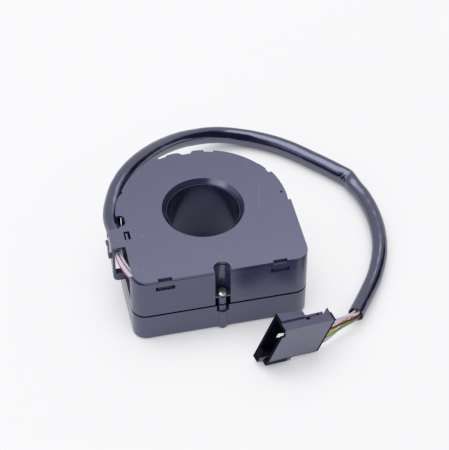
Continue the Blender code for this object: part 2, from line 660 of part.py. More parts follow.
def make_top_cover():
    """The cover plate: funnel at the bore, snap legs at the front, lug over the cable clip."""
    cover = prism("top_cover", cover_outline(), COVER_LOW, CASE_HEIGHT, CASE_PLASTIC)
    collar_low = CASE_HEIGHT - COLLAR_DEPTH
    outer = COVER_BORE_TOP + COLLAR_WALL
    rim = [(COVER_BORE_LOW - GAP, collar_low), (COVER_BORE_LOW + COLLAR_WALL, collar_low)]
    rim += [(outer, COVER_LOW), (outer, COVER_LOW + GAP), (COVER_BORE_LOW - GAP, COVER_LOW + GAP)]
    fuse(cover, turned("collar", rim))
    slope = FUNNEL_SPREAD / COLLAR_DEPTH
    sections = [
        (collar_low - OVERCUT, COVER_BORE_LOW),
        (collar_low, COVER_BORE_LOW),
        (CASE_HEIGHT + OVERCUT, COVER_BORE_TOP + slope * OVERCUT),
    ]
    turn = 360 / ROUND
    cut(cover, loft("funnel", [(z, arc(0, 0, radius, 0, 360 - turn, turn)) for z, radius in sections]))
    through = (COVER_LOW - OVERCUT, CASE_HEIGHT + OVERCUT)
    notch = channel_outline(CHANNEL_RADIUS + CHANNEL_RELIEF, FRONT + OVERCUT)
    cut(cover, prism("channel_notch", notch, *through))
    cut(cover, prism("relief_notch", relief_outline(), *through))
    hole_x = (LUG_HOLE_LEFT, LUG_HOLE_LEFT + LUG_HOLE_WIDTH)
    hole_y = (LUG_HOLE_BACK - LUG_HOLE_LENGTH, LUG_HOLE_BACK)
    cut(cover, block("latch_hole", hole_x, hole_y, through))
    tongue_x = (hole_x[0] + TONGUE_INSET, hole_x[0] + TONGUE_INSET + TONGUE_WIDTH)
    tongue_y = (hole_y[0] - OVERCUT, hole_y[1] - TONGUE_SHORT)
    fuse(cover, block("latch_tongue", tongue_x, tongue_y, (COVER_LOW + GAP, CASE_HEIGHT - GAP)))
    leg_front = WALL + GAP - FRONT
    leg_back = leg_front + SNAP_THICK
    leg_low = CASE_HEIGHT - SNAP_REACH
    catch = leg_front - SNAP_CATCH
    catch_low = WINDOW_LOW + GAP
    for x in SNAP_PLACES:
        leg = [(leg_front, CASE_HEIGHT - GAP), (leg_front, WINDOW_HIGH - GAP)]
        leg += [(catch, catch_low + SNAP_CATCH_FACE), (catch, catch_low), (leg_front, catch_low)]
        leg += [(leg_back - SNAP_THICK / 2, leg_low), (leg_back, leg_low), (leg_back, CASE_HEIGHT - GAP)]
        notch_x = (x - SNAP_WIDTH / 2, x + SNAP_WIDTH / 2)
        fuse(cover, side_prism("snap_leg", leg, *notch_x, along="X"))
        cut(cover, block("snap_notch", notch_x, (-FRONT - OVERCUT, SNAP_NOTCH - FRONT), through))
    return shade(cover)


def make_rotor():
    """The hub that the shaft turns, the wiper carrier with its rim round the flange, and two wipers."""
    lip_low = HUB_TOP - HUB_LIP_LENGTH
    flange_top = FLANGE_LOW + FLANGE_THICK
    section = [
        (HUB_BORE, HUB_LOW), (HUB_RADIUS, HUB_LOW), (HUB_RADIUS, FLANGE_LOW), (FLANGE_RADIUS, FLANGE_LOW),
        (FLANGE_RADIUS, flange_top), (HUB_RADIUS, flange_top), (HUB_RADIUS, lip_low), (HUB_LIP, lip_low),
        (HUB_LIP, HUB_TOP), (HUB_BORE + HUB_EDGE, HUB_TOP), (HUB_BORE, HUB_TOP - HUB_EDGE),
    ]
    hub = turned("rotor_hub", section, HUB_PLASTIC)
    slot_x = (-DRIVE_SLOT_WIDTH / 2, DRIVE_SLOT_WIDTH / 2)
    slot_y = (-HUB_RADIUS - OVERCUT, 0.0)
    cut(hub, block("drive_slot", slot_x, slot_y, (HUB_LOW - OVERCUT, HUB_LOW + DRIVE_SLOT_DEPTH)))
    shade(hub)
    inner, rim = HUB_RADIUS + RUN, FLANGE_RADIUS + RUN
    section = [
        (inner, CARRIER_LOW), (CARRIER_RADIUS - CARRIER_BEVEL, CARRIER_LOW),
        (CARRIER_RADIUS, CARRIER_LOW + CARRIER_BEVEL), (CARRIER_RADIUS, CARRIER_TOP),
        (rim + CARRIER_RIM, CARRIER_TOP), (rim + CARRIER_RIM, flange_top), (rim, flange_top),
        (rim, CARRIER_TOP), (inner, CARRIER_TOP),
    ]
    shade(turned("wiper_carrier", section, CARRIER_PLASTIC, CARRIER_SIDES))
    for number, turn in ((1, 0.0), (2, 90.0)):
        make_wiper(f"wiper_spring_{number}", turn)


def make_wiper(name, turn):
    """A flat foot under the carrier with three sprung fingers that reach down to the tracks."""
    foot = CARRIER_LOW - GAP
    tip = TRACK_TOP + GAP + WIPER_THICK
    top = [(-WIPER_HEEL, foot), (WIPER_BEND, foot), (WIPER_REACH, tip), (WIPER_TIP, tip + WIPER_TIP_LIFT)]
    under = [(across, z - WIPER_THICK) for across, z in reversed(top)]
    low, high = WIPER_RADIUS - WIPER_WIDTH / 2, WIPER_RADIUS + WIPER_WIDTH / 2
    wiper = side_prism(name, top + under, low, high, SPRING_METAL)
    for side in (-1, 1):
        y = WIPER_RADIUS + side * WIPER_WIDTH / 6
        slit_y = (y - WIPER_SLIT / 2, y + WIPER_SLIT / 2)
        cut(wiper, block("slit", (0.0, WIPER_TIP + OVERCUT), slit_y, (0.0, CARRIER_TOP)))
    wiper.rotation_euler = (0.0, 0.0, radians(turn))
    return wiper


def make_boards():
    """The track board on the tray floor and the electronics board on the ledges of the upper housing."""
    outline = case_outline(TRAY_INSET + GAP)
    track = prism("track_board", outline, TRACK_BOARD_LOW, TRACK_BOARD_TOP, BOARD_LAMINATE)
    turn = 360 / ROUND
    cut(track, disc("track_hole", 0, 0, BEARING_OUTER + GAP, 0, BOARD_LOW, step=turn))
    boss = RECESS_RADIUS + CHANNEL_WALL + GAP
    cut(track, prism("boss_notch", recess_outline(boss, FRONT), 0, BOARD_LOW))
    for side in (-1, 1):
        middle = WIPER_RADIUS + side * WIPER_WIDTH / 3
        low, high = middle - TRACK_WIDTH / 2, middle + TRACK_WIDTH / 2
        root = TRACK_BOARD_TOP - GAP
        fuse(track, turned("track", [(low, root), (high, root), (high, TRACK_TOP), (low, TRACK_TOP)]))
    board = prism("circuit_board", case_outline(WALL + GAP), BOARD_LOW, BOARD_TOP, BOARD_LAMINATE)
    cut(board, disc("board_hole", 0, 0, BOARD_BORE, 0, CASE_HEIGHT, step=turn))
    boss = CHANNEL_RADIUS + CHANNEL_WALL + GAP
    cut(board, prism("channel_gap", channel_outline(boss, FRONT), 0, CASE_HEIGHT))


def chip(name, x, y, length, width, legs_long, legs_short):
    """A moulded chip with gull legs along its sides."""
    low, high = PART_SEAT, PART_SEAT + CHIP_HEIGHT
    half_x, half_y = length / 2, width / 2
    wide = rectangle(x - half_x, x + half_x, y - half_y, y + half_y)
    top_x, top_y = half_x - CHIP_BEVEL, half_y - CHIP_BEVEL
    narrow = rectangle(x - top_x, x + top_x, y - top_y, y + top_y)
    body = loft(name, [(low, narrow), ((low + high) / 2, wide), (high, narrow)], CHIP_BLACK)
    leg_z = (low, low + LEG_HEIGHT)
    for i in range(legs_long):
        middle = x + (i - (legs_long - 1) / 2) * LEG_PITCH
        reach = (y - half_y - LEG_REACH, y + half_y + LEG_REACH)
        fuse(body, block("leg", (middle - LEG_WIDTH / 2, middle + LEG_WIDTH / 2), reach, leg_z))
    for i in range(legs_short):
        middle = y + (i - (legs_short - 1) / 2) * LEG_PITCH
        reach = (x - half_x - LEG_REACH, x + half_x + LEG_REACH)
        fuse(body, block("leg", reach, (middle - LEG_WIDTH / 2, middle + LEG_WIDTH / 2), leg_z))
    return body


def make_electronics():
    """The parts on the electronics board and the pins that link it to the track board."""
    controller_x, controller_y = HALF_WIDTH - CONTROLLER_INSET, CONTROLLER_INSET - FRONT
    chip("microcontroller", controller_x, controller_y, CONTROLLER_SIDE, CONTROLLER_SIDE, 7, 6)
    driver_x, driver_y = DRIVER_SIDE_INSET - HALF_WIDTH, DRIVER_FRONT_INSET - FRONT
    chip("can_transceiver", driver_x, driver_y, DRIVER_LENGTH, DRIVER_WIDTH, 4, 0)
    left, back = REGULATOR_INSET - HALF_WIDTH, SIDE_END - REGULATOR_SET_BACK
    front = back - REGULATOR_WIDTH
    body_z = (PART_SEAT, PART_SEAT + REGULATOR_HEIGHT)
    body_x = (left, left + REGULATOR_LENGTH)
    regulator = block("voltage_regulator", body_x, (front, back), body_z, CHIP_BLACK)
    tab_x = (left - TAB_REACH, left + TAB_REACH)
    tab_z = (PART_SEAT + TAB_LOW, PART_SEAT + TAB_HIGH)
    fuse(regulator, block("tab", tab_x, (front + TAB_NARROW, back - TAB_NARROW), tab_z))
    crystal_x, crystal_back = HALF_WIDTH - CRYSTAL_INSET, SIDE_END - CRYSTAL_SET_BACK
    ends = arc(crystal_x, crystal_back, CRYSTAL_RADIUS, 0, 180, 30)
    ends += arc(crystal_x, crystal_back - CRYSTAL_LENGTH, CRYSTAL_RADIUS, 180, 360, 30)
    shade(prism("quartz_crystal", ends, PART_SEAT, PART_SEAT + CRYSTAL_HEIGHT, TIN))
    can_x, can_y = PART_RING * cos(radians(CAN_ANGLE)), PART_RING * sin(radians(CAN_ANGLE))
    can = disc("electrolytic_capacitor", can_x, can_y, CAN_RADIUS, PART_SEAT, PART_SEAT + CAN_HEIGHT, TIN)
    half = CAN_BASE / 2
    base = rectangle(can_x - half, can_x + half, can_y - half, can_y + half)
    fuse(can, prism("can_base", base, PART_SEAT + TAB_LOW, PART_SEAT + CAN_BASE_HIGH))
    shade(can)
    for i, angle in enumerate(SMALL_PART_ANGLES):
        resistor = i < 4
        name = f"chip_resistor_{i + 1}" if resistor else f"chip_capacitor_{i - 3}"
        height = RESISTOR_HEIGHT if resistor else CERAMIC_HEIGHT
        x, y = PART_RING * cos(radians(angle)), PART_RING * sin(radians(angle))
        x_range = (x - SMALL_PART_LENGTH / 2, x + SMALL_PART_LENGTH / 2)
        y_range = (y - SMALL_PART_WIDTH / 2, y + SMALL_PART_WIDTH / 2)
        colour = CHIP_BLACK if resistor else CERAMIC
        block(name, x_range, y_range, (PART_SEAT, PART_SEAT + height), colour)
    pin_z = (TRACK_BOARD_TOP + GAP, BOARD_LOW - GAP)
    half = PIN_SIZE / 2
    for i, (side_inset, front_inset) in enumerate(PIN_INSETS):
        x, y = HALF_WIDTH - side_inset, front_inset - FRONT
        block(f"link_pin_{i + 1}", (x - half, x + half), (y - half, y + half), pin_z, TIN)


def make_screw():
    """The pan head screw at the bottom of the channel, with a cross recess."""
    seat = EYE_LOW + EYE_THICK + GAP
    tip = seat - SCREW_LENGTH
    top = seat + SCREW_HEAD_HEIGHT
    turn = 15.0
    sections = [
        (tip, SCREW_RADIUS * 0.6), (tip + SCREW_TIP, SCREW_RADIUS), (seat - GAP / 3, SCREW_RADIUS),
        (seat, SCREW_HEAD_RADIUS), (seat + SCREW_HEAD_RIM, SCREW_HEAD_RADIUS),
        (seat + SCREW_HEAD_DOME, SCREW_HEAD_RADIUS * 0.85), (top, SCREW_HEAD_RADIUS * 0.5),
    ]
    rings = [(z, arc(CHANNEL_X, SCREW_Y, radius, 0, 360 - turn, turn)) for z, radius in sections]
    screw = loft("housing_screw", rings, SCREW_STEEL)
    half, arm = CROSS_SLOT / 2, SCREW_HEAD_RADIUS * 0.6
    for reach_x, reach_y in ((arm, half), (half, arm)):
        x_range = (CHANNEL_X - reach_x, CHANNEL_X + reach_x)
        y_range = (SCREW_Y - reach_y, SCREW_Y + reach_y)
        cut(screw, block("cross", x_range, y_range, (top - CROSS_DEPTH, top + OVERCUT)))
    return shade(screw, 50)


def smooth_curve(route, spacing):
    """Even points on a Catmull-Rom curve through the route's own points."""
    route = [Vector(point) for point in route]
    path = [route[0] * 2 - route[1]] + route + [route[-1] * 2 - route[-2]]
    fine = []
    for i in range(1, len(path) - 2):
        before, start, end, after = path[i - 1], path[i], path[i + 1], path[i + 2]
        for k in range(12):
            t = k / 12
            fine.append(
                0.5 * (2 * start + (end - before) * t + (2 * before - 5 * start + 4 * end - after) * t ** 2
                       + (3 * start - before - 3 * end + after) * t ** 3)
            )
    fine.append(route[-1])
    reach = [0.0]
    for start, end in zip(fine, fine[1:]):
        reach.append(reach[-1] + (end - start).length)
    count = max(3, round(reach[-1] / spacing))
    points = []
    place = 0
    for i in range(count + 1):
        goal = reach[-1] * i / count
        while place < len(fine) - 2 and reach[place + 1] < goal:
            place += 1
        share = (goal - reach[place]) / (reach[place + 1] - reach[place])
        points.append(fine[place].lerp(fine[place + 1], min(1.0, share)))
    return points


def cable(name, route, diameter, spacing, material, resolution=2):
    """A round cord along its route, closed at both ends."""
    curve = bpy.data.curves.new(name, "CURVE")
    curve.dimensions = "3D"
    curve.bevel_depth = diameter / 2 * MM
    curve.bevel_resolution = resolution
    curve.use_fill_caps = True
    curve.materials.append(material)
    points = smooth_curve(route, spacing)
    spline = curve.splines.new("POLY")
    spline.points.add(len(points) - 1)
    for knot, point in zip(spline.points, points):
        knot.co = (*(point * MM), 1.0)
    obj = bpy.data.objects.new(name, curve)
    obj.parent = bore_axis
    bpy.context.scene.collection.objects.link(obj)
    return obj


SLEEVE_ROUTE = (
    (-41.2, -3.1, 31.0), (-40.95, -0.6, 31.0), (-40.9, 1.9, 31.0), (-40.8, 4.6, 31.0), (-40.0, 9.5, 31.0),
    (-38.9, 14.2, 31.0), (-37.2, 19.2, 31.0), (-35.1, 24.2, 31.0), (-32.6, 28.8, 30.9), (-29.4, 34.0, 30.4),
    (-25.3, 39.2, 29.5), (-20.8, 44.5, 28.0), (-16.1, 49.9, 25.8), (-11.1, 55.1, 23.2), (-5.8, 60.4, 20.1),
    (-0.2, 65.3, 16.9), (5.3, 69.3, 13.9), (10.8, 72.3, 11.3), (16.2, 74.5, 9.2), (21.5, 75.6, 7.5),
    (26.7, 75.8, 6.2), (31.7, 75.2, 5.1), (36.6, 73.8, 4.4), (41.2, 71.8, 4.0), (49.6, 65.9, 3.9),
    (57.4, 58.7, 3.9), (64.8, 50.9, 3.9), (71.7, 42.8, 3.9), (77.7, 34.0, 3.9), (81.9, 23.3, 3.9),
    (83.3, 11.5, 3.9), (82.5, -2.0, 3.9), (79.5, -14.6, 3.9), (74.5, -26.3, 3.9), (67.7, -37.2, 4.5),
    (58.4, -50.6, 6.6),
)
CLIP_ROUTE = (
    (-41.2, -3.4, 31.0), (-41.3, -7.0, 31.0), (-41.2, -12.0, 31.0), (-41.2, -16.8, 31.1),
    (-39.9, -23.5, 31.4), (-37.8, -29.4, 31.8), (-34.6, -32.8, 31.9),
)
# Row from below and column from outside that each lead takes in the clip, in the order of the wire colours
LEAD_PLACES = ((2, 0), (1, 0), (0, 0), (1, 1), (0, 1), (2, 1))


def lead_route(row, column):
    """One lead of the bundle of three rows and two columns, from the sleeve to its pad on the board."""
    lift = (row - 1) * LEAD_ROW
    side = (column - 0.5) * LEAD_ROW
    points = []
    for i, here in enumerate(CLIP_ROUTE):
        before, after = CLIP_ROUTE[max(i - 1, 0)], CLIP_ROUTE[min(i + 1, len(CLIP_ROUTE) - 1)]
        run_x, run_y = after[0] - before[0], after[1] - before[1]
        length = hypot(run_x, run_y)
        points.append((here[0] - side * run_y / length, here[1] + side * run_x / length, here[2] + lift))
    drop_x = LEAD_DROP_INSET - HALF_WIDTH + LEAD_DROP_STEP * row
    drop_y = LEAD_DROP_FRONT - FRONT + side
    top = CLIP_ROUTE[-1][2] + lift
    if row:
        points.append((drop_x - LEAD_BEND_START, drop_y, top))
    points.append((drop_x - LEAD_BEND_MIDDLE, drop_y, top - LEAD_BEND_DROP))
    return points + [(drop_x, drop_y, top - LEAD_BEND_END), (drop_x, drop_y, PART_SEAT)]


def make_cable():
    """Leads from the board to the clip, the sleeve round the back and the wires into the connector."""
    cable("cable_sleeve", SLEEVE_ROUTE, SLEEVE_DIAMETER, SLEEVE_SPACING, SLEEVE_VINYL, 3)
    for i, (row, column) in enumerate(LEAD_PLACES):
        cable(f"board_lead_{i + 1}", lead_route(row, column), LEAD_DIAMETER, LEAD_SPACING, WIRE_COLOURS[i])
    end = Vector(SLEEVE_ROUTE[-1])
    heading = (end - Vector(SLEEVE_ROUTE[-2])).normalized()
    across = heading.cross(Vector((0, 0, 1))).normalized()
    upward = across.cross(heading)
    turn = plug_axis.rotation_euler.to_matrix()
    rear = PLUG_LENGTH - WIRE_HOLE_DEPTH + GAP
    for i in range(6):
        angle = radians((120, 60, 180, 0, 240, 300)[i])
        start = end + heading * GAP + (across * cos(angle) + upward * sin(angle)) * BUNDLE_RADIUS
        z = TERMINAL_FIRST + (5 - i) * TERMINAL_PITCH
        seat = Vector(CONNECTOR_AT) + turn @ Vector((rear, TERMINAL_Y, z))
        outside = Vector(CONNECTOR_AT) + turn @ Vector((PLUG_LENGTH + WIRE_ENTRY, TERMINAL_Y, z))
        route = (start, start + heading * WIRE_STRAIGHT, start.lerp(outside, 0.55), outside, seat)
        cable(f"connector_wire_{i + 1}", route, LEAD_DIAMETER, LEAD_SPACING, WIRE_COLOURS[i])


def plug_block(name, x_range, y_range, z_range, material=None):
    return block(name, x_range, y_range, z_range, material, plug_axis)


def inner_wall(x):
    """The inner side of the collar, which comes in towards the rear."""
    return COLLAR_THICK - COLLAR_TAPER * x / COLLAR_LENGTH


def plug_shell():
    """The connector's outside: a flat body, the deeper tapered collar, the key rib, rail and nub."""
    body_x = (COLLAR_LENGTH - OVERCUT, PLUG_LENGTH)
    plug = plug_block("connector_housing", body_x, (0.0, PLUG_THICK), (0.0, PLUG_WIDTH), PLUG_PLASTIC)
    spare = COLLAR_THICK + OVERCUT
    collar_top = PLUG_WIDTH + COLLAR_STEP
    section = [(0.0, 0.0), (spare, 0.0), (spare, collar_top), (COLLAR_BAND, collar_top)]
    section += [(COLLAR_BAND, PLUG_WIDTH), (0.0, PLUG_WIDTH)]
    fuse(plug, side_prism("collar", section, 0.0, COLLAR_LENGTH, along="X", parent=plug_axis))
    key_z = (-KEY_DEPTH, COLLAR_SKIN)
    fuse(plug, plug_block("key_rib", (0.0, KEY_LENGTH), (COLLAR_THICK - KEY_THICK, spare), key_z))
    far = COLLAR_LENGTH + OVERCUT
    taper = [(-OVERCUT, inner_wall(-OVERCUT)), (far, inner_wall(far)), (far, spare + OVERCUT)]
    taper += [(-OVERCUT, spare + OVERCUT)]
    cut(plug, prism("taper", taper, -KEY_DEPTH - OVERCUT, collar_top + OVERCUT, parent=plug_axis))
    rail_x = (RAIL_START, RAIL_START + RAIL_LENGTH)
    fuse(plug, plug_block("rail", rail_x, (RAIL_SET_IN, RAIL_THICK), (-RAIL_DEPTH, COLLAR_SKIN)))
    nub_rear = PLUG_LENGTH - NUB_FROM_REAR
    nub_front = nub_rear - NUB_LENGTH
    nub = [(nub_front, PLUG_THICK - OVERCUT), (nub_rear, PLUG_THICK - OVERCUT)]
    nub += [(nub_rear, PLUG_THICK + NUB_HEIGHT), (nub_front, PLUG_THICK + GAP)]
    fuse(plug, prism("nub", nub, PLUG_WIDTH - NUB_WIDTH, PLUG_WIDTH - GAP / 2, parent=plug_axis))
    return plug


def make_connector():
    """The flat connector: its open mouth with a window, six terminals in their pockets and a lock bar."""
    plug = plug_shell()
    front, floor = inner_wall(-OVERCUT) - COLLAR_SKIN, inner_wall(MOUTH_DEPTH) - COLLAR_SKIN
    mouth = [(-OVERCUT, COLLAR_SKIN), (MOUTH_DEPTH, COLLAR_SKIN), (MOUTH_DEPTH, floor), (-OVERCUT, front)]
    cut(plug, prism("mouth", mouth, COLLAR_SKIN, PLUG_WIDTH - COLLAR_SKIN, parent=plug_axis))
    base_y = (COLLAR_SKIN, COLLAR_THICK - KEY_THICK)
    cut(plug, plug_block("base_cut", (-OVERCUT, MOUTH_BASE_CUT), base_y, (-OVERCUT, COLLAR_SKIN + OVERCUT)))
    window_x = (KEY_WINDOW_X - KEY_WINDOW / 2, KEY_WINDOW_X + KEY_WINDOW / 2)
    window_z = (KEY_WINDOW_Z - KEY_WINDOW / 2, KEY_WINDOW_Z + KEY_WINDOW / 2)
    cut(plug, plug_block("key_window", window_x, (COLLAR_THICK / 2, COLLAR_THICK + OVERCUT), window_z))
    notch_z = (MOUTH_NOTCH_Z - MOUTH_NOTCH_WIDTH / 2, MOUTH_NOTCH_Z + MOUTH_NOTCH_WIDTH / 2)
    notch_y = (-OVERCUT, COLLAR_SKIN + OVERCUT)
    cut(plug, plug_block("mouth_notch", (-OVERCUT, MOUTH_NOTCH_DEPTH), notch_y, notch_z))
    side_z = (PLUG_WIDTH - NOTCH_HEIGHT, PLUG_WIDTH + OVERCUT)
    notch_y = (PLUG_THICK - BODY_NOTCH_DEPTH, PLUG_THICK + OVERCUT)
    cut(plug, plug_block("body_notch", (COLLAR_LENGTH, COLLAR_LENGTH + BODY_NOTCH), notch_y, side_z))
    half = TERMINAL_SIZE / 2
    room = half + GAP
    terminal_x = (MOUTH_DEPTH - TERMINAL_PROUD, MOUTH_DEPTH - TERMINAL_PROUD + TERMINAL_LENGTH)
    pocket_x = (MOUTH_DEPTH - OVERCUT, terminal_x[1] + GAP)
    hole_x = (PLUG_LENGTH - WIRE_HOLE_DEPTH, PLUG_LENGTH + OVERCUT)
    for i in range(6):
        z = TERMINAL_FIRST + i * TERMINAL_PITCH
        pocket_y = (TERMINAL_Y - room, TERMINAL_Y + room)
        cut(plug, plug_block("pocket", pocket_x, pocket_y, (z - room, z + room)))
        hole = arc(TERMINAL_Y, z, WIRE_HOLE_RADIUS, 0, 315, 45)
        cut(plug, side_prism("wire_hole", hole, *hole_x, along="X", parent=plug_axis))
        terminal_y = (TERMINAL_Y - half, TERMINAL_Y + half)
        plug_block(f"connector_terminal_{i + 1}", terminal_x, terminal_y, (z - half, z + half), TIN)
    lock_x = (COLLAR_LENGTH + GAP, COLLAR_LENGTH + GAP + LOCK_LENGTH)
    lock_y = (PLUG_THICK + GAP, PLUG_THICK + GAP + LOCK_THICK)
    lock_z = (PLUG_WIDTH - LOCK_WIDTH, PLUG_WIDTH)
    lock = plug_block("connector_lock", lock_x, lock_y, lock_z, PLUG_PLASTIC)
    notch_x = (lock_x[0] + LOCK_NOTCH_AT, lock_x[0] + LOCK_NOTCH_AT + LOCK_NOTCH)
    cut(lock, plug_block("lock_notch", notch_x, (PLUG_THICK, lock_y[0] + LOCK_NOTCH_DEPTH), side_z))


make_lower_housing()
make_upper_housing()
make_top_cover()
make_screw()
make_rotor()
make_boards()
make_electronics()
make_cable()
make_connector()
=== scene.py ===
from math import cos, degrees, exp, hypot, pi, radians, sin

import bmesh
import bpy
from mathutils import Euler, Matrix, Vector


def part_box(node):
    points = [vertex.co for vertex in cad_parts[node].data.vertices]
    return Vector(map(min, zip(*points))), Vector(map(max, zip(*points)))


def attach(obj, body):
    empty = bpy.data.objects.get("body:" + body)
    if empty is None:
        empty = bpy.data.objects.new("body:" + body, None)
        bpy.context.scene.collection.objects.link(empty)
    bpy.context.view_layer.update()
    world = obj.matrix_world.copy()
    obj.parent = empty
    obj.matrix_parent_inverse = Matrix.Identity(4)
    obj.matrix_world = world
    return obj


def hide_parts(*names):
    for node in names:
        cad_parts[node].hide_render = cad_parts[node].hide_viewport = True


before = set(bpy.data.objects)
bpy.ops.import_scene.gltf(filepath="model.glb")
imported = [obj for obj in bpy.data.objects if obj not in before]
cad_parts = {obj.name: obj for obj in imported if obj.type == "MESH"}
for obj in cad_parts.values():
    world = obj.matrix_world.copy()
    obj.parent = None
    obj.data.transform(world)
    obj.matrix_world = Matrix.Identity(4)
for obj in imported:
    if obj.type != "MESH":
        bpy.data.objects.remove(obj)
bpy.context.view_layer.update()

# Camera
# The photograph looks down on the sensor from the front left with a long lens, at 46 degrees above the table.
# Its place is given in millimetres about the middle of the bore, as every place in this file is.
MM = 0.001
HUB_LOW, HUB_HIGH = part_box("rotor_hub")
BORE = Vector(((HUB_LOW.x + HUB_HIGH.x) / 2, (HUB_LOW.y + HUB_HIGH.y) / 2, 0.0))
CAMERA_AT = (-112.2, -552.9, 609.2)
CAMERA_DOWN = 45.98
CAMERA_RIGHT = 12.44
SENSOR_WIDTH = 36.0
LENS = 144.32
CAMERA_SIGHT = 20.0


def place(x, y, z):
    """A point in metres from millimetres about the bore."""
    return BORE + Vector((x, y, z)) * MM


view_turn = (radians(90.0 - CAMERA_DOWN), 0.0, -radians(CAMERA_RIGHT))
bpy.ops.object.camera_add(location=place(*CAMERA_AT), rotation=view_turn)
camera = bpy.context.object
camera.data.sensor_fit = "HORIZONTAL"
camera.data.sensor_width = SENSOR_WIDTH
camera.data.lens = LENS
camera.data.clip_end = CAMERA_SIGHT
bpy.context.scene.camera = camera
bpy.context.scene.view_settings.view_transform = "Standard"

# Table and light
# A plain pale table in a white light tent, lit softly from all sides, with a large lamp overhead and
# a smaller one at the left. The tent has a wide opening in front and at the right, and glossy things
# mirror it as a dark patch.
TABLE_SIZE = 12.0
TABLE_COLOUR = (0.85, 0.84, 0.90, 1.0)
TABLE_SEEN = (0.97, 0.97, 0.975, 1.0)
TABLE_FADE = 0.82
TABLE_GAP = 0.0001
CREVICE_DEPTH = 0.024
CREVICE_SEEN = (0.05, 0.95)
CREVICE_MIRRORED = (0.16, 0.70)
TENT_COLOUR = (0.96, 0.96, 0.98, 1.0)
TENT_LIGHT = 0.58
TENT_WALL = 0.76
TENT_OPENING = 0.02
OPENING_TOWARD = ((0.10, -0.86, 0.50), (0.90, -0.38, 0.20))
OPENING_EDGE = (0.50, 0.72)
LAMPS = (
    ("overhead_lamp", (-60.0, 300.0, 890.0), (1.3, 0.60), 4.8),
    ("left_lamp", (-700.0, -560.0, 300.0), (0.7, 0.5), 2.4),
)
LAMP_AIM = (0.0, 0.0, 20.0)
RAY_KINDS = ("Is Camera Ray", "Is Glossy Ray", "Is Transmission Ray")


class Value:
    """A socket of a node tree. An expression on it adds the nodes that work it out."""

    def __init__(self, tree, socket=None):
        self.tree = tree
        self.socket = socket

    def node(self, kind, settings=None, sockets=None, output=0):
        """Any node: its settings are set first, then the values or links of its sockets."""
        made = self.tree.nodes.new("ShaderNode" + kind)
        for name, setting in (settings or {}).items():
            setattr(made, name, setting)
        for name, value in (sockets or {}).items():
            if isinstance(value, Value):
                self.tree.links.new(value.socket, made.inputs[name])
            else:
                made.inputs[name].default_value = value
        return Value(self.tree, made.outputs[output] if made.outputs else None)

    def math(self, operation, first, second=0.0):
        """A Math node."""
        return self.node("Math", {"operation": operation}, {0: first, 1: second})

    def __add__(self, other):
        return self.math("ADD", self, other)

    def __radd__(self, other):
        return self.math("ADD", other, self)

    def __sub__(self, other):
        return self.math("SUBTRACT", self, other)

    def __rsub__(self, other):
        return self.math("SUBTRACT", other, self)

    def __mul__(self, other):
        return self.math("MULTIPLY", self, other)

    def __rmul__(self, other):
        return self.math("MULTIPLY", other, self)

    def rise(self, low, high):
        """0 up to low and 1 from high, with a smooth step between."""
        settings = {"interpolation_type": "SMOOTHSTEP"}
        return self.node("MapRange", settings, {"Value": self, "From Min": low, "From Max": high})

    def over(self, other):
        """The greater of the two."""
        return self.math("MAXIMUM", self, other)

    def mix(self, first, second):
        """The first colour where this value is 0, and the second where it is 1."""
        return self.node("Mix", {"data_type": "RGBA"}, {0: self, 6: first, 7: second}, 2)

    def dot(self, direction):
        """How far a vector goes in a direction."""
        return self.node("VectorMath", {"operation": "DOT_PRODUCT"}, {0: self, 1: direction}, "Value")

    def part(self, axis):
        """The X, Y or Z part of a vector."""
        return self.node("SeparateXYZ", {}, {"Vector": self}, axis)


def start(name):
    """A new material and the value that its nodes are made from."""
    made = bpy.data.materials.new(name)
    made.use_nodes = True
    made.node_tree.nodes.clear()
    return made, Value(made.node_tree)


def looked_at(surface):
    """Two values: 1 for the camera's rays, and 1 for these and the rays of metal, gloss and glass."""
    camera_ray, glossy_ray, clear_ray = (surface.node("LightPath", output=name) for name in RAY_KINDS)
    return camera_ray, camera_ray.over(glossy_ray).over(clear_ray)


world = bpy.data.worlds.new("light_tent")
bpy.context.scene.world = world
world.use_nodes = True
world.node_tree.nodes.clear()
tent = Value(world.node_tree)
camera_ray, seen = looked_at(tent)
way = tent.node("TexCoord", output="Generated")
front, right = (way.dot(direction) for direction in OPENING_TOWARD)
opening = front.over(right).rise(*OPENING_EDGE)
wall = (TENT_WALL - opening * (TENT_WALL - TENT_OPENING)).over(camera_ray)
strength = TENT_LIGHT + seen * (wall - TENT_LIGHT)
glow = tent.node("Background", {}, {"Color": TENT_COLOUR, "Strength": strength})
tent.node("OutputWorld", {}, {"Surface": glow})

bpy.ops.mesh.primitive_plane_add(size=TABLE_SIZE, location=(0.0, 0.0, -TABLE_GAP))
table = bpy.context.object
table.name = "table"
table_finish, paint = start("table")
camera_ray, seen = looked_at(paint)
matt = paint.node("BsdfDiffuse", {}, {"Color": TABLE_COLOUR})
white = paint.node("Emission", {}, {"Color": TABLE_SEEN})
clear = paint.node("AmbientOcclusion", {"samples": 8}, {"Distance": CREVICE_DEPTH}, "AO")
mirrored = (seen - camera_ray) * clear.rise(*CREVICE_MIRRORED)
shown = mirrored.over(camera_ray * clear.rise(*CREVICE_SEEN)) * TABLE_FADE
table_mix = paint.node("MixShader", {}, {0: shown, 1: matt, 2: white})
paint.node("OutputMaterial", {}, {"Surface": table_mix})
table.data.materials.append(table_finish)

for lamp, at, size, power in LAMPS:
    bpy.ops.object.light_add(type="AREA", location=place(*at))
    light = bpy.context.object
    light.name = lamp
    light.data.shape = "RECTANGLE"
    light.data.size, light.data.size_y = size
    light.data.energy = power
    light.rotation_euler = (place(*at) - place(*LAMP_AIM)).to_track_quat("Z", "Y").to_euler()


